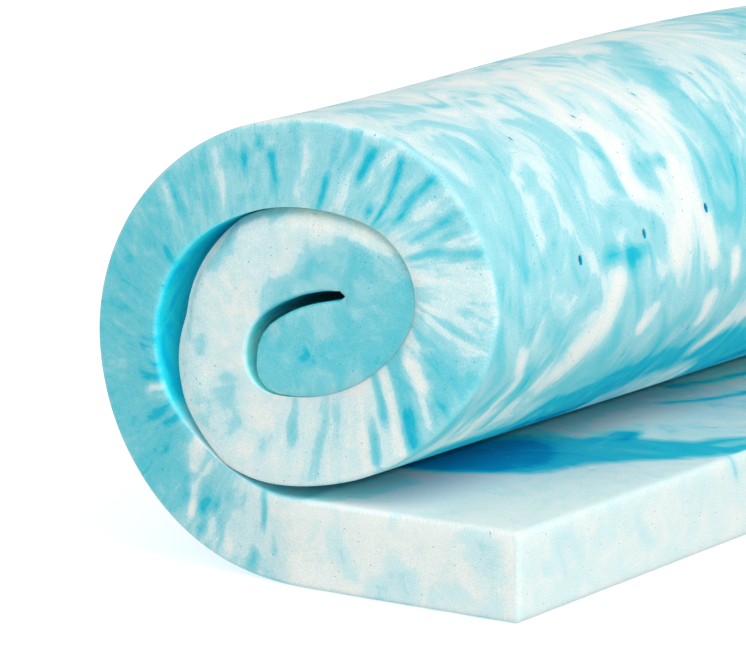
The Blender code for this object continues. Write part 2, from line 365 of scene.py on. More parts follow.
zones = {"outside": 0, "inside": 1, "tailEnd": 2, "nearCut": 3, "farCut": 4, "vent": 5}
mesh = {"corners": [], "spots": [], "polygons": [], "total": 0}


def addCorners(where, zone, along, across, depth, through, flat, endness, edge):
    # adds a block of corners with what is known of their place in the slab, and gives the first one's number
    size = len(where)
    columns = [zone, along, across, depth, through, flat, endness, edge]
    block = [np.broadcast_to(np.asarray(column, float), (size,)) for column in columns]
    mesh["spots"].append(np.stack(block, axis=1))
    mesh["corners"].append(np.asarray(where, float))
    mesh["total"] += size
    return mesh["total"] - size


def ringDepth(angle):
    lean = math.radians(angle)
    return rim["draw"] + rim["round"] * (1.0 - math.cos(lean))


def addRoundRing(angle, farEnd):
    # one ring of the rounding of a cut edge, all the way round the outline
    lean = math.radians(angle)
    points = rim["points"] - rimNormals * (rim["round"] * (1.0 - math.sin(lean)))[:, None]
    depth = ringDepth(angle)
    if farEnd:
        depth = slab["width"] - depth
    place = [rim[key] for key in ("side", "along", "across")]
    return addCorners(
        toWorld(points, depth), *place, depth, rim["through"], rim["flat"],
        # the last value is this ring's share of the painted edge highlight
        1.0 - angle / 90.0, grid["edgeLight"] + (1.0 - grid["edgeLight"]) * math.sin(2.0 * lean),
    )


def addCutEnd(ringFirst, farEnd):
    # the flat of a cut end: rows of quads from the tail to the free end
    count, rows = rim["count"], len(grid["through"]) - 1
    inset = rim["points"] - rimNormals * rim["round"][:, None]
    lower, upper = inset[:count], inset[2 * count:count:-1]
    flat, along = rim["flat"][:count], rim["along"][:count]
    alongWaves, throughWaves = grid["cutWaves"]
    seed = grid["farCutSeed"] if farEnd else 0.0
    block = []
    for row in range(1, rows):
        through = grid["through"][row]
        wave = [noise.noise(Vector((s * alongWaves, through * throughWaves, seed))) for s in flat]
        curve = max(0.0, 1.0 - through / slab["bulgeReach"]) ** 2
        bulge = rim["bulge"][:count]
        depth = (rim["draw"][:count] - bulge) * (1.0 - through) + bulge * curve
        depth = depth + math.sin(math.pi * through) * grid["unevenCut"] * (np.array(wave) + grid["cutHollow"])
        if farEnd:
            depth = slab["width"] - depth
        zone = zones["farCut"] if farEnd else zones["nearCut"]
        where = toWorld(lower + (upper - lower) * through, depth)
        block.append(addCorners(where, zone, along, along, depth, through, flat, 1.0, 0.0))

    def at(column, row):
        if column == count or row == 0:
            return ringFirst + column
        return ringFirst + 2 * count - column if row == rows else block[row - 1] + column

    found = []
    for column in range(count):
        for row in range(rows):
            found.append((at(column, row), at(column, row + 1), at(column + 1, row + 1), at(column + 1, row)))
    # the strip that joins the first column to the tail's end
    tailFirst = ringFirst + 2 * count + 1
    high = tailFirst + grid["cornerSteps"]
    low = high + rows
    for row in range(1, rows - 1):
        found.append((at(0, row), low - row, low - row - 1, at(0, row + 1)))
    found.append((at(0, 0), *range(low + grid["cornerSteps"], low - 2, -1), at(0, 1)))
    found.append((at(0, rows - 1), high + 1, *range(high, tailFirst - 1, -1), at(0, rows)))
    for polygon in found:
        ring = tuple(dict.fromkeys(polygon))
        mesh["polygons"].append(ring[::-1] if farEnd else ring)


def addEdge(farEnd):
    # the rounding of a cut edge, its rings numbered from the cut end inwards
    size = len(rim["points"])
    rings = [addRoundRing(angle, farEnd) for angle in grid["roundAngles"][:-1]]
    for here, there in zip(rings, rings[1:]):
        for i in range(size):
            j = (i + 1) % size
            face = (here + i, here + j, there + j, there + i)
            mesh["polygons"].append(face[::-1] if farEnd else face)
    return rings


def addBody():
    # the loft from one rounded edge to the other, on the kept columns
    keep = rim["keep"]
    near = np.arange(0.0, grid["nearLength"], grid["stationNear"])
    farCount = math.ceil((slab["width"] - near[-1]) / grid["stationFar"])
    shares = np.concatenate([near, np.linspace(near[-1], slab["width"], farCount + 1)[1:]]) / slab["width"]
    first = ringDepth(90.0)[keep]
    points = rim["points"][keep]
    place = [rim[key][keep] for key in ("side", "along", "across")]
    start = mesh["total"]
    for share in shares:
        depth = first + (slab["width"] - 2.0 * first) * share
        # share of the painted edge highlight where the body meets the rounding
        edge = grid["edgeEnd"] if share in (0.0, 1.0) else 0.0
        addCorners(toWorld(points, depth), *place, depth, rim["through"][keep], rim["flat"][keep], 0.0, edge)
    return start, len(shares)


def joinRing(ring, bodyRow, farEnd):
    # faces from a full ring of the rounding to the kept columns of the body
    keep, size = rim["keep"], len(rim["points"])
    for k in range(len(keep)):
        nextKept = (k + 1) % len(keep)
        last = keep[nextKept] if nextKept else size
        face = [ring + i % size for i in range(keep[k], last + 1)] + [bodyRow + nextKept, bodyRow + k]
        mesh["polygons"].append(tuple(face[::-1] if farEnd else face))


def curvePoint(face, along):
    name = "lower" if face == "outside" else "upper"
    return readAt(faces[name + "Along"], faces[name], np.array([along]))


# steps from a corner to its eight neighbours, once round
neighbours = [(1, 0), (1, 1), (0, 1), (-1, 1), (-1, 0), (-1, -1), (0, -1), (1, -1)]


def openVent(body, face, along, depth, radius):
    # moves the nine corners round a place onto it and opens the middle one into an oval hole
    corners, spots, columns = body["corners"], body["spots"], body["columns"]
    keep = rim["keep"]
    side = zones["outside"] if face == "outside" else zones["inside"]
    columnAlong = np.where(rim["side"][keep] == side, rim["along"][keep], np.inf)
    column = int(np.argmin(np.abs(columnAlong - along)))
    rowDepth = spots[body["start"] + column::columns, 3][:-1]
    row = int(np.argmin(np.abs(rowDepth - depth)))
    middle = body["start"] + row * columns + column
    alongShift, depthShift = along - columnAlong[column], depth - rowDepth[row]
    for di in (-1, 0, 1):
        for dj in (-1, 0, 1):
            index = middle + dj * columns + di
            spots[index, 1] += alongShift
            spots[index, 3] += depthShift
            corners[index] = toWorld(curvePoint(face, spots[index, 1]), spots[index, 3])[0]

    ringBefore = [middle + dj * columns + di for di, dj in neighbours]
    lengthwise = corners[ringBefore[0]] - corners[ringBefore[4]]
    lengthwise /= np.linalg.norm(lengthwise)
    crosswise = np.array([0.0, 1.0, 0.0])
    inward = -np.cross(lengthwise, crosswise)
    centre = corners[middle].copy()
    spot = spots[middle]
    forward = math.copysign(1.0, columnAlong[column + 1] - columnAlong[column])
    sides = len(neighbours)
    turns = [math.tau * n / sides for n in range(sides)]
    for size, deep in vents["loops"]:
        reach, width = radius * vents["stretch"] * size, radius * size
        oval = [(reach * math.cos(turn), width * math.sin(turn)) for turn in turns]
        first = addCorners(
            [centre + lengthwise * a + crosswise * b + inward * deep for a, b in oval],
            side if deep < vents["skin"] else zones["vent"],
            [along + forward * a for a, b in oval],
            spot[2],
            [depth + b for a, b in oval],
            abs(spot[4] - deep / slab["thickness"]),
            spot[5], 0.0, 0.0,
        )
        ring = [first + n for n in range(sides)]
        for n in range(sides):
            onward = (n + 1) % sides
            mesh["polygons"].append((ringBefore[n], ringBefore[onward], ring[onward], ring[n]))
        ringBefore = ring
    mesh["polygons"].append(tuple(ringBefore))
    return middle


def addVents(body):
    # opens every hole of the table, and gives the corners whose place they take
    middles = set()
    for face, alongMm, firstMm, pitchMm, driftMm, count, size in vents["rows"]:
        for number in range(count):
            along = (alongMm + number * driftMm) / 1000.0
            depth = (firstMm + number * pitchMm) / 1000.0
            middles.add(openVent(body, face, along, depth, vents["radius"] * size))
    return middles


def closeBody(body, middles):
    # the quads of the body, but for the four round each vent's middle
    columns = body["columns"]
    for row in range(body["rows"] - 1):
        here, there = body["start"] + row * columns, body["start"] + (row + 1) * columns
        for column in range(columns):
            onward = (column + 1) % columns
            quad = (here + column, here + onward, there + onward, there + column)
            if not middles.intersection(quad):
                mesh["polygons"].append(quad)


print("cut ends")
nearRings = addEdge(False)
addCutEnd(nearRings[0], False)
farRings = addEdge(True)
addCutEnd(farRings[0], True)

print("body and vents")
bodyStart, bodyRows = addBody()
body = {"start": bodyStart, "rows": bodyRows, "columns": len(rim["keep"])}
joinRing(nearRings[-1], bodyStart, False)
joinRing(farRings[-1], bodyStart + (bodyRows - 1) * body["columns"], True)
body["corners"], body["spots"] = np.vstack(mesh["corners"]), np.vstack(mesh["spots"])
mesh["corners"], mesh["spots"] = [body["corners"]], [body["spots"]]
ventMiddles = addVents(body)
closeBody(body, ventMiddles)
corners, spots = np.vstack(mesh["corners"]), np.vstack(mesh["spots"])
print("mesh:", len(corners), "corners,", len(mesh["polygons"]), "faces,", len(ventMiddles), "vents")

# How blue the foam is, from 0, cream white, to 1, deep blue
tones = {
    "white": 0.0,
    "cream": 0.05,
    "veryPale": 0.16,
    "pale": 0.26,
    "soft": 0.38,
    "mid": 0.52,
    "strong": 0.66,
    "vivid": 0.82,
    "deep": 1.0,
}

# The marbling of the near cut end: its ground, then areas and strokes of (along mm, share through)
cutGround = [
    (0, 0.06), (225, 0.08), (260, 0.16), (330, 0.36), (370, 0.50), (470, 0.57), (600, 0.60), (700, 0.52),
    (780, 0.46), (900, 0.40), (1000, 0.36), (1100, 0.26), (1180, 0.38), (1212, 0.54), (1245, 0.50),
    (1285, 0.18), (1320, 0.12),
    (1420, 0.15), (1600, 0.16), (1720, 0.13), (1790, 0.20), (1840, 0.46), (1900, 0.54), (2150, 0.55),
]
cutAreas = [  # tone, softness mm, corners
    ("pale", 24, [(14, 0.42), (50, 0.50), (60, 0.76), (52, 1.0), (22, 0.94)]),
    ("pale", 22, [(92, -0.1), (152, -0.1), (146, 0.26), (130, 0.46), (110, 0.42), (98, 0.2)]),
    ("veryPale", 22, [(10, -0.1), (95, -0.1), (95, 0.18), (62, 0.24), (30, 0.42), (10, 0.34)]),
    ("pale", 16, [(160, 0.1), (176, 0.12), (192, 0.62), (178, 0.62)]),
    ("mid", 20, [
        (1738, 0.90), (1748, 0.80), (1770, 0.79), (1788, 0.75), (1808, 0.67), (1822, 0.55), (1834, 0.40),
        (1852, 0.27), (1870, 0.15), (1900, 0.18), (1914, 0.04), (1960, 0.30), (1900, 1.05), (1738, 1.05),
    ]),
]
cutStrokes = [  # tone, width mm, points
    ("pale", 20, [(235, 0.08), (325, 0.12)]),
    ("mid", 12, [(272, 0.03), (272, 0.16)]),
    ("soft", 10, [(248, 0.36), (248, 0.44)]),
    ("strong", 7, [(281, 0.97), (270, 0.75), (262, 0.58)]),
    ("cream", 7, [(318, 0.25), (303, 0.1)]),
    ("mid", 9, [(322, 0.75), (322, 0.55)]),
    ("mid", 8, [(322, 0.35), (315, 0.2)]),
    ("strong", 8, [(335, 0.1), (335, 0.2)]),
    ("vivid", 12, [(343, 0.3), (343, 0.45)]),
    ("vivid", 10, [(332, 0.53), (332, 0.58)]),
    ("strong", 30, [(415, 0.05), (412, 0.35), (410, 0.65)]),
    ("strong", 9, [(392, 0.68), (375, 0.45), (360, 0.28)]),
    ("cream", 8, [(385, 0.75), (362, 0.5), (350, 0.18)]),
    ("cream", 20, [(388, 0.82), (392, 1.0)]),
    ("cream", 8, [(365, 0.72), (365, 0.8)]),
    ("vivid", 12, [(437, 0.78), (437, 1.0)]),
    ("vivid", 13, [(455, 0.72), (455, 0.8)]),
    ("cream", 9, [(490, 0.82), (490, 0.95)]),
    ("vivid", 10, [(505, 0.88), (505, 0.95)]),
    ("vivid", 10, [(520, 0.93), (520, 1.0)]),
    ("vivid", 10, [(555, 0.9), (555, 0.96)]),
    ("vivid", 10, [(675, 0.97), (675, 0.75)]),
    ("pale", 8, [(706, 0.12), (702, 0.45)]),
    ("strong", 9, [(715, 0.25), (715, 0.7)]),
    ("strong", 10, [(755, 0.12), (755, 0.28)]),
    ("strong", 8, [(748, 0.65), (748, 0.75)]),
    ("pale", 14, [(772, 0.1), (772, 0.9)]),
    ("vivid", 9, [(805, 0.25), (805, 0.45)]),
    ("vivid", 8, [(822, 0.15), (822, 0.25)]),
    ("pale", 8, [(835, 0.2), (835, 0.3)]),
    ("vivid", 9, [(836, 0.35), (840, 0.6), (848, 0.78)]),
    ("mid", 12, [(861, 0.0), (861, 0.4)]),
    ("pale", 10, [(875, 0.3), (875, 0.85)]),
    ("mid", 8, [(908, 0.1), (908, 0.35)]),
    ("vivid", 9, [(906, 0.6), (908, 0.95)]),
    ("strong", 9, [(923, 0.05), (923, 0.3)]),
    ("pale", 10, [(930, 0.4), (930, 0.8)]),
    ("vivid", 9, [(940, 0.15), (940, 0.5)]),
    ("pale", 9, [(957, 0.1), (957, 0.5)]),
    ("vivid", 8, [(970, 0.1), (985, 0.55), (992, 0.95)]),
    ("vivid", 12, [(972, 0.83), (972, 0.88)]),
    ("pale", 9, [(988, 0.25), (988, 0.35)]),
    ("vivid", 10, [(1003, 0.05), (1004, 0.45), (1015, 0.75)]),
    ("pale", 10, [(1025, 0.0), (1025, 0.5)]),
    ("strong", 9, [(1042, 0.05), (1047, 0.75)]),
    ("mid", 8, [(1055, 0.0), (1055, 0.4)]),
    ("pale", 10, [(1066, 0.1), (1066, 0.9)]),
    ("strong", 10, [(1078, 0.0), (1078, 0.35), (1070, 0.6), (1075, 0.9)]),
    ("soft", 8, [(1090, 0.75), (1090, 0.9)]),
    ("veryPale", 28, [(1112, 0.1), (1112, 0.9)]),
    ("mid", 8, [(1140, 0.35), (1140, 0.45)]),
    ("cream", 10, [(1155, 0.7), (1155, 0.9)]),
    ("mid", 8, [(1165, 0.55), (1165, 0.65)]),
    ("pale", 7, [(1172, 0.75), (1172, 0.35)]),
    ("strong", 18, [(1196, 0.1), (1208, 0.4), (1222, 0.12)]),
    ("cream", 9, [(1210, 1.0), (1217, 0.8), (1232, 0.65), (1240, 0.4)]),
    ("strong", 20, [(1256, 0.95), (1266, 0.64), (1274, 0.0)]),
    ("vivid", 14, [(1270, 0.35), (1274, 0.02)]),
    ("cream", 12, [(1218, 0.95), (1242, 0.84), (1240, 0.60)]),
    ("cream", 7, [(1240, 0.60), (1252, 0.08)]),
    ("cream", 12, [(1278, 0.90), (1288, 0.0)]),
    ("strong", 12, [(1294, 0.98), (1298, 0.44)]),
    ("strong", 12, [(1314, 0.40), (1316, 0.08)]),
    ("soft", 18, [(1356, 0.95), (1362, 0.44)]),
    ("soft", 15, [(1376, 0.98), (1378, 0.56), (1390, 0.08)]),
    ("soft", 12, [(1424, 1.0), (1418, 0.62)]),
    ("mid", 13, [(1417, 0.62), (1414, 0.46)]),
    ("soft", 14, [(1452, 0.32), (1440, 0.52)]),
    ("soft", 24, [(1575, 0.66), (1534, 0.50), (1500, 0.34)]),
    ("pale", 20, [(1500, 0.10), (1580, 0.13), (1650, 0.20)]),
    ("pale", 12, [(1512, 0.42), (1530, 0.55)]),
    ("soft", 9, [(1600, 0.34), (1640, 0.40)]),
    ("pale", 14, [(1555, 0.2), (1575, 0.2)]),
    ("pale", 10, [(1565, 0.55), (1565, 0.65)]),
    ("pale", 12, [(1610, 0.1), (1610, 0.2)]),
    ("pale", 12, [(1680, 0.25), (1680, 0.35)]),
    ("pale", 12, [(1705, 0.15), (1725, 0.22)]),
    ("pale", 14, [(1600, 0.03), (1680, 0.06)]),
    # the next two: painted shade along the inner wrap's set-back edge
    ("mid", 12, [(1684, 0.16), (1712, 0.10), (1740, 0.05)]),
    ("soft", 9, [(1740, 0.03), (1810, 0.01), (1900, 0.0)]),
    ("cream", 26, [(1800, 0.08), (1835, 0.14), (1865, 0.04), (1888, 0.0)]),
    ("vivid", 7, [(2076, 0.50), (2080, 0.55)]),
]

# The marbling of the outside of the roll: its ground, then areas and strokes of (along mm, depth mm)
outsideGround = [
    (0, 0.30), (700, 0.34), (800, 0.18), (880, 0.20), (960, 0.27), (1040, 0.34), (1100, 0.37), (1150, 0.40),
    (1200, 0.48), (1232, 0.56), (1258, 0.50), (1300, 0.42), (1340, 0.42), (1424, 0.40), (1450, 0.30),
    (2150, 0.35),
]
outsideAreas = [
    ("soft", 26, [(960, 20), (985, 120), (1016, 128), (1060, 132), (1104, 108), (1125, 80), (1130, 20)]),
    ("mid", 24, [(1050, 352), (1062, 400), (1080, 470), (1190, 470), (1165, 400), (1112, 362)]),
    ("vivid", 20, [
        (1330, 30), (1292, 50), (1284, 150), (1252, 176), (1246, 240), (1238, 280), (1222, 330), (1224, 390),
        (1226, 480), (1226, 760), (1400, 760), (1400, 30),
    ]),
    ("pale", 18, [(1270, 330), (1264, 400), (1276, 446), (1310, 462), (1330, 465), (1330, 290), (1292, 300)]),
    ("pale", 18, [(1240, 30), (1290, 20), (1280, 120), (1256, 150), (1232, 130)]),
]
outsideStrokes = [
    ("mid", 16, [(1075, 40), (1110, 60), (1100, 95)]),
    ("soft", 20, [(875, 60), (905, 110), (930, 170)]),
    ("white", 24, [(864, 234), (910, 261), (954, 243), (986, 240), (1000, 255), (1020, 256)]),
    ("white", 20, [(1020, 256), (1054, 246), (1068, 258), (1086, 282), (1116, 288), (1128, 291)]),
    ("cream", 40, [(905, 300), (962, 330), (996, 346), (1038, 325), (1066, 312), (1090, 312), (1116, 294)]),
    ("mid", 13, [(1008, 238), (1026, 232), (1056, 228)]),
    ("mid", 15, [(1042, 280), (1048, 304)]),
    ("mid", 36, [
        (890, 470), (922, 425), (980, 400), (1012, 396), (1036, 398), (1066, 402), (1086, 408), (1116, 410),
    ]),
    ("soft", 30, [(880, 360), (905, 410)]),
    ("vivid", 24, [(1116, 190), (1120, 214)]),
    ("vivid", 14, [(1116, 225), (1114, 238)]),
    ("white", 17, [(1106, 339), (1134, 348)]),
    ("white", 14, [(1170, 350), (1190, 355)]),
    ("white", 15, [(1142, 384), (1154, 386)]),
    ("cream", 34, [(1216, 128), (1186, 157), (1166, 187), (1140, 192)]),
    ("mid", 26, [(1222, 240), (1205, 290), (1190, 330)]),
    ("cream", 22, [(1236, 396), (1214, 426), (1190, 450)]),
    ("cream", 10, [(1280, 70), (1238, 62), (1202, 70), (1172, 66)]),
    ("strong", 9, [(1262, 92), (1222, 86), (1190, 92)]),
    ("mid", 9, [(1262, 40), (1215, 42), (1185, 44)]),
    ("cream", 10, [(1165, 260), (1185, 250)]),
    ("veryPale", 60, [(905, 520), (980, 520)]),
    ("deep", 20, [(1304, 190), (1308, 290)]),
    ("deep", 22, [(1300, 500), (1292, 600), (1290, 740)]),
]

# The marbling of the tail's top and of the face that rolls up from it
insideGround = [
    (0, 0.10), (140, 0.11), (190, 0.17), (210, 0.26), (300, 0.24), (335, 0.40), (372, 0.82), (470, 0.88),
    (560, 0.90), (640, 0.6), (980, 0.56), (1030, 0.62), (1060, 0.74), (1100, 0.9), (1300, 0.9),
]
insideAreas = [  # tone, softness mm, corners as (along mm, depth mm)
    # the next two: painted teal shade on the tail's top under the roll's near end
    ("soft", 30, [(300, -20), (190, -20), (165, 60), (150, 120), (190, 130), (300, 120)]),
    ("mid", 24, [(260, -20), (213, -20), (206, 60), (196, 130), (260, 130)]),
    ("pale", 26, [(240, 340), (150, 335), (110, 380), (60, 395), (0, 470), (0, 700), (240, 700)]),
    ("veryPale", 24, [(205, 370), (160, 400), (110, 440), (60, 450), (40, 560), (150, 480), (205, 470)]),
    ("vivid", 22, [
        (240, 138), (180, 147), (141, 168), (108, 192), (92, 225), (84, 252), (60, 282), (35, 308), (0, 362),
        (0, 455), (30, 425), (60, 380), (87, 372), (104, 364), (120, 386), (140, 376), (150, 330), (168, 336),
        (198, 344), (240, 350),
    ]),
    ("deep", 20, [
        (240, 145), (180, 156), (142, 180), (118, 212), (125, 262), (160, 300), (200, 322), (240, 335),
    ]),
    ("pale", 20, [(175, 480), (140, 530), (104, 600), (90, 760), (225, 760), (225, 560), (200, 490)]),
]
insideStrokes = [  # tone, width mm, points
    ("deep", 16, [(112, 345), (116, 372)]),
    ("mid", 16, [(30, 380), (10, 420)]),
    ("vivid", 13, [(163, 506), (140, 545), (122, 600), (104, 700)]),
    # painted cyan reflection from the blue foam, next to where the roll meets the tail
    ("mid", 60, [(220, 330), (216, 480), (212, 760)]),
    ("vivid", 16, [(200, 575), (178, 620), (160, 720)]),
]

# The marbling of the tail's end, as (depth mm, share through)
tailEndStrokes = [
    ("pale", 9, [(52, 0.84), (80, 0.72), (98, 0.45)]),
    ("pale", 9, [(40, 0.50), (60, 0.62), (70, 0.40)]),
    ("pale", 10, [(186, 0.62), (206, 0.38)]),
    ("soft", 9, [(344, 1.0), (350, 0.80)]),
]

# How the marbling is laid on each face; a stray is how far noise moves its patches, in mm
marbling = {
    "clouds": {  # scales along, across and through the slab, and a seed
        "wild": ((7.0, 15.0, 1.5), 5.0),
        "wander": ((16.0, 16.0, 0.6), 9.0),
        "drift": ((16.0, 16.0, 0.6), 31.0),
        "cutWave": ((30.0, 1.2, 0.0), 2.0),
        "cutSwirl": ((30.0, 2.4, 0.0), 21.0),
    },
    "cloudLayers": (0.8, 2.0, 3),  # how each finer layer fades, how much finer it is, and how many
    "softness": 0.95,  # of a stroke's edge, as a share of its half width
    "strength": 0.95,
    "ventShadeTone": 0.90,  # painted shade: a deep tone down in the holes
    "edgeHighlight": [(250, 0.0), (500, 0.05)],  # across mm, how much paler the painted highlight makes a cut edge there
}
outsideLook = {
    "ground": outsideGround,
    "areas": outsideAreas,
    "strokes": outsideStrokes,
    "stray": 18.0,
    "ripple": 0.12,  # clouds over the ground
    "plain": (0.36, 0.4),  # the ground beyond the tables' reach, and its clouds
    "laidFrom": (780.0, 80.0),  # along mm, and over how far the tables' marbling comes in
    "laidTo": (680.0, 120.0),  # depth mm, and over how far it fades out
}
insideLook = {
    "ground": insideGround,
    "areas": insideAreas,
    "strokes": insideStrokes,
    "stray": 12.0,
    "ripple": 0.0,
    "plain": (0.36, 0.5),
    "laidFrom": (-1.0, 1.0),  # from the tail's end on
    "laidTo": (780.0, 100.0),
    "stir": [(0.1, 0.35), (0.3, 0.80), (0.6, 0.65), (0.85, 0.50)],  # tone, how much noise stirs it
}
tailEndLook = {"ground": 0.13, "clouds": 0.08, "stray": 6.0, "stir": 0.22}
cutLook = {
    "stray": 5.0,
    "calmStray": 15.0,  # added where the foam isn't bent and its marbling has no streaks
    "calm": [(230, 1.0), (330, 0.0), (1420, 0.0), (1500, 1.0)],  # across mm, share
    "strength": 0.90,
    "farGround": (0.30, 0.75),  # the far cut end and its clouds
    "stir": [(0, 0.5), (230, 0.5), (330, 1.1), (1240, 1.1), (1300, 0.85), (1750, 0.75), (1850, 0.7)],
}


def readTable(values, pairs):
    return np.interp(values, *zip(*pairs))


def rise(values, start, length):
    return smoothStep((values - start) / length)


def fall(values, end, length):
    return smoothStep((end - values) / length)


def nearest(u, v, ends):
    # how far each place is from the nearest of these lines
    near = np.full(len(u), np.inf)
    for (u0, v0), (u1, v1) in ends:
        du, dv = u1 - u0, v1 - v0
        share = np.clip(((u - u0) * du + (v - v0) * dv) / (du * du + dv * dv), 0.0, 1.0)
        near = np.minimum(near, np.hypot(u - u0 - share * du, v - v0 - share * dv))
    return near


def layStrokes(tone, u, v, strokes, strength=marbling["strength"]):
    # each stroke pulls the tone of what lies under it towards its own
    softness = marbling["softness"]
    for name, width, points in strokes:
        near = nearest(u, v, zip(points, points[1:]))
        cover = smoothStep((1.0 + softness - near / (width / 2.0)) / (2.0 * softness)) * strength
        tone = tone + (tones[name] - tone) * cover
    return tone


def layAreas(tone, u, v, areas):
    # the same for areas given by their corners
    for name, softness, points in areas:
        ends = list(zip(points, points[1:] + points[:1]))
        near = nearest(u, v, ends)
        inside = np.zeros(len(u), bool)
        for (u0, v0), (u1, v1) in ends:
            if v0 != v1:
                crossing = u0 + (v - v0) * (u1 - u0) / (v1 - v0)
                inside ^= (v >= min(v0, v1)) & (v < max(v0, v1)) & (u < crossing)
        near = np.where(inside, near, -near)
        tone = tone + (tones[name] - tone) * smoothStep(0.5 + near / softness) * marbling["strength"]
    return tone


def cloud(name, u, v, w):
    # slow uneven noise, about -0.5 to 0.5
    scales, seed = marbling["clouds"][name]
    fade, finer, layers = marbling["cloudLayers"]
    places = zip(u * scales[0], v * scales[1], w * scales[2] + seed)
    return np.array([noise.fractal(Vector(place), fade, finer, layers) for place in places]) * 0.5


def sharesToMm(rows):
    # a table's shares through the slab as millimetres
    thick = slab["thickness"] * 1000.0
    return [(name, width, [(u, share * thick) for u, share in points]) for name, width, points in rows]


def readSpots(spots):
    # what is known of each corner, by name, with its clouds
    names = ("zone", "along", "across", "depth", "through", "flat", "endness", "edge")
    place = dict(zip(names, spots.T))
    for name in ("along", "across", "depth"):
        place[name + "Mm"] = place[name] * 1000.0
    place["throughMm"] = place["through"] * (slab["thickness"] * 1000.0)
    for name in ("wild", "wander", "drift"):
        place[name] = cloud(name, place["flat"], place["depth"], place["through"])
    return place


def chosen(place, at):
    return {name: values[at] for name, values in place.items()}


def faceTones(place, look):
    # the tables' marbling where it reaches, and plain clouds elsewhere
    laid = fall(place["depthMm"], *look["laidTo"]) * rise(place["alongMm"], *look["laidFrom"])
    plain = look["plain"][0] + look["plain"][1] * place["wild"]
    ground = readTable(place["alongMm"], look["ground"])
    ground = ground * laid + plain * (1.0 - laid) + look["ripple"] * place["wild"] * laid
    along = place["alongMm"] + look["stray"] * place["wander"]
    depth = place["depthMm"] + look["stray"] * place["drift"]
    painted = layAreas(ground, along, depth, look["areas"])
    painted = layStrokes(painted, along, depth, look["strokes"])
    return ground + (painted - ground) * laid


def tailEndTones(place):
    ground = tailEndLook["ground"] + tailEndLook["clouds"] * place["wild"]
    depth = place["depthMm"] + tailEndLook["stray"] * place["drift"]
    through = place["throughMm"] + tailEndLook["stray"] * place["wander"]
    return layStrokes(ground, depth, through, sharesToMm(tailEndStrokes))


def cutTones(place):
    # the tables' streaks on the near cut end, and loose clouds on the far one
    wave = cloud("cutWave", place["flat"], place["through"], place["through"])
    swirl = cloud("cutSwirl", place["flat"], place["through"], place["through"])
    stray = cutLook["stray"] + cutLook["calmStray"] * readTable(place["acrossMm"], cutLook["calm"])
    across = place["acrossMm"] + stray * wave
    through = place["throughMm"] + stray * swirl
    ground = readTable(place["acrossMm"], cutGround)
    painted = layAreas(ground, across, through, sharesToMm(cutAreas))
    painted = layStrokes(painted, across, through, sharesToMm(cutStrokes), cutLook["strength"])
    farGround, farClouds = cutLook["farGround"]
    return np.where(place["depth"] < slab["width"] / 2.0, painted, farGround + farClouds * wave)


def foamTones(place):
    # the tone of every corner, how far it belongs to a cut end, and how much noise stirs it
    zone = place["zone"]
    tone, stir = np.zeros(len(zone)), np.ones(len(zone))

    at = (zone == zones["outside"]) | (zone == zones["vent"])
    tone[at] = faceTones(chosen(place, at), outsideLook)

    at = zone == zones["inside"]
    tone[at] = faceTones(chosen(place, at), insideLook)
    stir[at] = readTable(tone[at], insideLook["stir"])

    at = zone == zones["tailEnd"]
    tone[at] = tailEndTones(chosen(place, at))
    stir[at] = tailEndLook["stir"]

    at = (place["endness"] > 0.0) & (zone != zones["tailEnd"])
    cut = chosen(place, at)
    tone[at] = tone[at] + (cutTones(cut) - tone[at]) * cut["endness"]
    stir[at] = stir[at] + (readTable(cut["acrossMm"], cutLook["stir"]) - stir[at]) * cut["endness"]

    # painted shade down in the holes
    tone[zone == zones["vent"]] = marbling["ventShadeTone"]
    endness = np.where(zone == zones["tailEnd"], 1.0, place["endness"])
    # a painted highlight on the rounded cut edges
    highlight = readTable(place["acrossMm"], marbling["edgeHighlight"]) * place["edge"]
    return np.stack([tone - highlight, endness, stir], axis=1)


# Painted shade, and painted light that stands in for light coming through the foam: how much darker,
# then where along the inside it comes in and over how far, and where it ends and over how far, in metres
shading = {
    "slit": (0.93, 1.085, 0.020, 2.000, 0.100),  # painted shade: from here on the slit is dark
    "slitDepth": (0.003, 0.010),  # but not at its mouth
    "gapLight": (-0.65, 0.330, 0.050, 1.075, 0.030),  # painted light, standing in for light through the foam between the wraps
    "underLight": (-0.55, 0.080, 0.100, 0.218, 0.014),  # and painted light under the roll
    "contact": (0.51, 0.2045, 0.009, 0.250, 0.020),  # painted shadow where the roll meets the tail
    "contactDepth": (0.020, 0.100),
    "setBack": [(1640, 0.0), (1720, 0.34), (1880, 0.34), (1960, 0.0)],  # across mm: painted shade on the inner wrap's set-back edge
    "setBackReach": 0.18,  # share of the thickness
    "mottle": [  # across mm, how much a cut is mottled instead of streaked
        (0, 0.9), (220, 0.9), (330, 0.35), (1380, 0.35), (1460, 0.7), (1750, 0.7), (1830, 1.0),
    ],
}


def shadeAlong(name, place):
    amount, start, riseOver, end, fallOver = shading[name]
    isInside = place["zone"] == zones["inside"]
    return amount * rise(place["along"], start, riseOver) * fall(place["along"], end, fallOver) * isInside


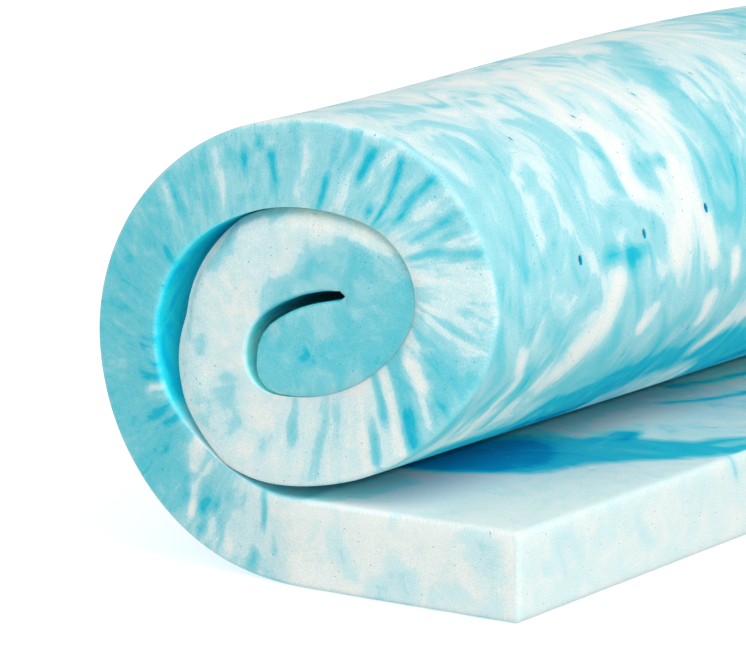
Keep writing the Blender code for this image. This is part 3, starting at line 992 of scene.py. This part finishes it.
def paintedShadeAndMottle(place):
    # the shade painted on a corner (below 0, light painted on it), and how mottled its cut; the third value
    # isn't used
    zone, depth, endness = place["zone"], place["depth"], place["endness"]
    contact = shadeAlong("contact", place) * rise(depth, *shading["contactDepth"])
    shade = shadeAlong("slit", place) * rise(depth, *shading["slitDepth"])
    shade += (shadeAlong("gapLight", place) + shadeAlong("underLight", place) + contact) * (1.0 - endness)
    # painted shade on the inner wrap's set-back edge of the cut ends
    setBack = readTable(place["acrossMm"], shading["setBack"]) * (endness > 0.0) * (zone != zones["inside"])
    shade += setBack * fall(place["through"], shading["setBackReach"], shading["setBackReach"])
    mottle = readTable(place["acrossMm"], shading["mottle"])
    mottle = np.where(zone == zones["tailEnd"], 1.0, mottle)
    return np.stack([shade, mottle, np.zeros(len(zone))], axis=1)


def foamPlaces(place):
    # where each corner lay in the flat slab, in metres
    return np.stack([place["flat"], place["depth"], place["through"] * slab["thickness"]], axis=1)


def addAttribute(data, name, values):
    attribute = data.attributes.new(name, "FLOAT_VECTOR", "POINT")
    attribute.data.foreach_set("vector", values.astype(np.float32).ravel())


def makeTopper():
    data = bpy.data.meshes.new("toppermarbled")
    data.from_pydata([tuple(map(float, corner)) for corner in corners], [], mesh["polygons"])
    data.update()
    place = readSpots(spots)
    addAttribute(data, "slabPlace", foamPlaces(place))
    addAttribute(data, "foamTone", foamTones(place))
    addAttribute(data, "foamShadeAndMottle", paintedShadeAndMottle(place))
    data.shade_smooth()
    item = bpy.data.objects.new("topper_marbled_foam", data)
    scene.collection.objects.link(item)
    return item


topper = makeTopper()
print("topper made, marbling laid on")

# The foam's colours, grain and pores
foam = {
    "ramp": [  # tone, colour as seen on a screen: even patches with quick changes between them
        (0.00, (237, 244, 240)),
        (0.09, (231, 241, 237)),
        (0.15, (215, 238, 238)),
        (0.26, (204, 234, 237)),
        (0.33, (166, 223, 230)),
        (0.45, (149, 216, 225)),
        (0.53, (121, 210, 221)),
        (0.65, (100, 205, 219)),
        (0.74, (48, 193, 214)),
        (0.88, (20, 182, 212)),
        (1.00, (0, 148, 196)),
    ],
    "noises": {  # scales a metre along, across and through the slab, detail, roughness, distortion
        "warp": ((6.0, 11.0, 8.0), 3.0, 0.5, 0.0),  # the slow swirl that bends the marbling
        "body": ((13.0, 17.0, 15.0), 5.0, 0.52, 2.4),
        "cut": ((90.0, 4.0, 24.0), 5.0, 0.62, 0.5),
        "mottle": ((42.0, 42.0, 42.0), 5.0, 0.6, 0.6),
        "pores": ((720.0, 720.0, 720.0), 2.0, 0.6, 0.0),
        "uneven": ((60.0, 60.0, 60.0), 3.0, 0.55, 0.0),
    },
    "warpReach": 0.050,
    "stir": {"body": 0.85, "cut": 0.90, "mottle": 1.00},  # how far each noise shifts the tone
    "speck": (0, 135, 184),
    "speckCells": 110.0,  # a metre
    "speckSize": 0.055,  # share of a cell
    "speckReach": 1.5,
    "speckCrispness": 1.6,
    "speckStrength": 0.75,
    "poreContrast": 0.50,
    "brightest": 0.97,  # no colour goes above this
    "bumps": {"uneven": (0.5, 0.0012), "pores": (0.55, 0.0005)},  # strength, height m
    "roughness": 0.92,
    "specular": 0.08,
    "subsurface": 0.4,  # light that passes through the open foam
    "subsurfaceReach": (0.016, 0.018, 0.018),
}


def toLinear(rgb):
    values = [c / 255.0 for c in rgb]
    return [v / 12.92 if v <= 0.04045 else ((v + 0.055) / 1.055) ** 2.4 for v in values] + [1.0]


def addNode(tree, kind, **settings):
    made = tree.nodes.new(kind)
    for key, value in settings.items():
        setattr(made, key, value)
    return made


def feed(tree, value, socket):
    # a link from another node, or a fixed value
    if isinstance(value, bpy.types.NodeSocket):
        tree.links.new(value, socket)
    else:
        socket.default_value = value


def maths(tree, operation, *values, kind="ShaderNodeMath", clamp=False):
    made = addNode(tree, kind, operation=operation)
    if clamp:
        made.use_clamp = True
    for socket, value in zip(made.inputs, values):
        feed(tree, value, socket)
    return made.outputs[0]


def vectorMaths(tree, operation, *values):
    return maths(tree, operation, *values, kind="ShaderNodeVectorMath")


def noiseAt(tree, name, place, output="Fac"):
    scales, detail, roughness, distortion = foam["noises"][name]
    made = addNode(tree, "ShaderNodeTexNoise")
    feed(tree, vectorMaths(tree, "MULTIPLY", place, scales), made.inputs["Vector"])
    made.inputs["Scale"].default_value = 1.0
    made.inputs["Detail"].default_value = detail
    made.inputs["Roughness"].default_value = roughness
    made.inputs["Distortion"].default_value = distortion
    return made.outputs[output]


def stirring(tree, name, place):
    # noise about 0, as strong as it stirs the marbling
    centred = maths(tree, "SUBTRACT", noiseAt(tree, name, place), 0.5)
    return maths(tree, "MULTIPLY", centred, foam["stir"][name])


def blended(tree, first, second, share):
    return maths(tree, "ADD", first, maths(tree, "MULTIPLY", maths(tree, "SUBTRACT", second, first), share))


def marbledTone(tree, place, tone, endness, stir, mottle):
    # the laid tone, stirred by swirls on the faces and by streaks or mottling on the cut ends
    warp = vectorMaths(tree, "SUBTRACT", noiseAt(tree, "warp", place, "Color"), (0.5, 0.5, 0.5))
    bent = vectorMaths(tree, "MULTIPLY_ADD", warp, (foam["warpReach"],) * 3, place)
    onObject = addNode(tree, "ShaderNodeTexCoord").outputs["Object"]
    cut = blended(tree, stirring(tree, "cut", place), stirring(tree, "mottle", onObject), mottle)
    stirred = blended(tree, stirring(tree, "body", bent), cut, endness)
    return maths(tree, "MULTIPLY_ADD", stirred, stir, tone)


def toneColour(tree, tone):
    ramp = addNode(tree, "ShaderNodeValToRGB")
    stops = ramp.color_ramp.elements
    while len(stops) < len(foam["ramp"]):
        stops.new(0.5)
    for stop, (position, colour) in zip(stops, foam["ramp"]):
        stop.position = position
        stop.color = toLinear(colour)
    feed(tree, tone, ramp.inputs[0])
    return ramp.outputs["Color"]


def speckedColour(tree, colour, place):
    # scattered small dots of the deep blue
    cells = addNode(tree, "ShaderNodeTexVoronoi")
    feed(tree, place, cells.inputs["Vector"])
    cells.inputs["Scale"].default_value = foam["speckCells"]
    size = foam["speckSize"]
    speck = maths(tree, "SUBTRACT", size * foam["speckReach"], cells.outputs["Distance"])
    speck = maths(tree, "MULTIPLY", speck, foam["speckCrispness"] / size, clamp=True)
    specked = addNode(tree, "ShaderNodeMix", data_type="RGBA")
    feed(tree, maths(tree, "MULTIPLY", speck, foam["speckStrength"]), specked.inputs["Factor"])
    feed(tree, colour, specked.inputs["A"])
    feed(tree, toLinear(foam["speck"]), specked.inputs["B"])
    return specked.outputs["Result"]


def grainedShadedColour(tree, colour, pores, shade):
    # darkened in the pores and by the painted shade, lightened by the painted light, and held below full
    # white
    grainAndShade = maths(tree, "MULTIPLY_ADD", pores, foam["poreContrast"], 1.0 - foam["poreContrast"] / 2.0)
    grainAndShade = maths(tree, "MULTIPLY", grainAndShade, maths(tree, "SUBTRACT", 1.0, shade))
    grainedAndShaded = addNode(tree, "ShaderNodeVectorMath", operation="SCALE")
    feed(tree, colour, grainedAndShaded.inputs[0])
    feed(tree, grainAndShade, grainedAndShaded.inputs["Scale"])
    return vectorMaths(tree, "MINIMUM", grainedAndShaded.outputs[0], (foam["brightest"],) * 3)


def addBump(tree, name, height, under=None):
    strength, distance = foam["bumps"][name]
    made = addNode(tree, "ShaderNodeBump")
    made.inputs["Strength"].default_value = strength
    made.inputs["Distance"].default_value = distance
    feed(tree, height, made.inputs["Height"])
    if under is not None:
        feed(tree, under, made.inputs["Normal"])
    return made.outputs["Normal"]


def readAttribute(tree, name):
    return addNode(tree, "ShaderNodeAttribute", attribute_name=name).outputs["Vector"]


def splitAttribute(tree, name):
    parts = addNode(tree, "ShaderNodeSeparateXYZ")
    feed(tree, readAttribute(tree, name), parts.inputs[0])
    return parts.outputs


def foamMaterial():
    material = bpy.data.materials.new("marbledFoam")
    material.use_nodes = True
    tree = material.node_tree
    shader = tree.nodes["Principled BSDF"]
    place = readAttribute(tree, "slabPlace")
    tone, endness, stir = splitAttribute(tree, "foamTone")
    shade, mottle = splitAttribute(tree, "foamShadeAndMottle")[:2]
    pores = noiseAt(tree, "pores", place)

    colour = toneColour(tree, marbledTone(tree, place, tone, endness, stir, mottle))
    colour = grainedShadedColour(tree, speckedColour(tree, colour, place), pores, shade)
    feed(tree, colour, shader.inputs["Base Color"])
    uneven = addBump(tree, "uneven", noiseAt(tree, "uneven", place))
    feed(tree, addBump(tree, "pores", pores, uneven), shader.inputs["Normal"])
    shader.inputs["Roughness"].default_value = foam["roughness"]
    shader.inputs["Specular IOR Level"].default_value = foam["specular"]
    shader.inputs["Subsurface Weight"].default_value = foam["subsurface"]
    shader.inputs["Subsurface Radius"].default_value = foam["subsurfaceReach"]
    shader.inputs["Subsurface Scale"].default_value = 1.0
    return material


topper.data.materials.append(foamMaterial())
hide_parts("topper_foam")
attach(topper, "root")
print("material made")

# The floor, the lamps and the white room round them
studio = {
    "floorSize": 30.0,
    "floorColour": (0.80, 0.80, 0.80, 1.0),
    "floorGlow": 0.50,
    "floorDrop": 0.0005,  # just under the foam
    "skyStrength": 0.68,
    "lights": [  # name, place, size m, power W
        ("key", (2.5, -1.8, 3.0), 2.2, 50.0),
        ("side", (3.4, -1.0, 0.9), 1.6, 11.5),
        ("fill", (1.9, -3.6, 0.8), 1.4, 26.0),
    ],
    "aim": (0.0, -0.3, 0.2),
}


def paleFloor():
    half = studio["floorSize"] / 2.0
    ends = [(-half, -half, 0.0), (half, -half, 0.0), (half, half, 0.0), (-half, half, 0.0)]
    data = bpy.data.meshes.new("floor")
    data.from_pydata(ends, [], [(0, 1, 2, 3)])
    floor = bpy.data.objects.new("floor", data)
    scene.collection.objects.link(floor)
    material = bpy.data.materials.new("paleFloor")
    material.use_nodes = True
    shader = material.node_tree.nodes["Principled BSDF"]
    shader.inputs["Base Color"].default_value = studio["floorColour"]
    shader.inputs["Roughness"].default_value = 1.0
    shader.inputs["Specular IOR Level"].default_value = 0.0
    shader.inputs["Emission Color"].default_value = (1.0, 1.0, 1.0, 1.0)
    shader.inputs["Emission Strength"].default_value = studio["floorGlow"]
    data.materials.append(material)
    floor.location.z = -studio["floorDrop"]
    floor.visible_diffuse = False  # the white room lights the foam evenly from below too


def addAreaLight(name, place, size, power):
    light = bpy.data.lights.new(name, "AREA")
    light.size = size
    light.energy = power
    item = bpy.data.objects.new(name, light)
    item.location = place
    item.rotation_euler = (Vector(studio["aim"]) - Vector(place)).to_track_quat("-Z", "Y").to_euler()
    scene.collection.objects.link(item)


def whiteSky():
    world = bpy.data.worlds.new("sky")
    world.use_nodes = True
    background = world.node_tree.nodes["Background"]
    background.inputs["Color"].default_value = (1.0, 1.0, 1.0, 1.0)
    background.inputs["Strength"].default_value = studio["skyStrength"]
    scene.world = world


paleFloor()
for lightRow in studio["lights"]:
    addAreaLight(*lightRow)
whiteSky()
scene.view_settings.view_transform = "Standard"

# Where the topper is seen from
view = {
    "place": (2.0908, -3.6393, 0.9121),
    "turn": 34.25,  # degrees to the left of straight along the roll
    "down": 10.77,
    "lens": 215.6,  # mm
    "sensor": 36.0,
}


def placeCamera():
    turn, down = math.radians(view["turn"]), math.radians(view["down"])
    ahead = Vector((-math.sin(turn) * math.cos(down), math.cos(turn) * math.cos(down), -math.sin(down)))
    camera = bpy.data.objects.new("camera", bpy.data.cameras.new("camera"))
    camera.data.lens = view["lens"]
    camera.data.sensor_width = view["sensor"]
    camera.location = view["place"]
    camera.rotation_euler = ahead.to_track_quat("-Z", "Y").to_euler()
    scene.collection.objects.link(camera)
    scene.camera = camera


placeCamera()
print("floor, light and camera set")
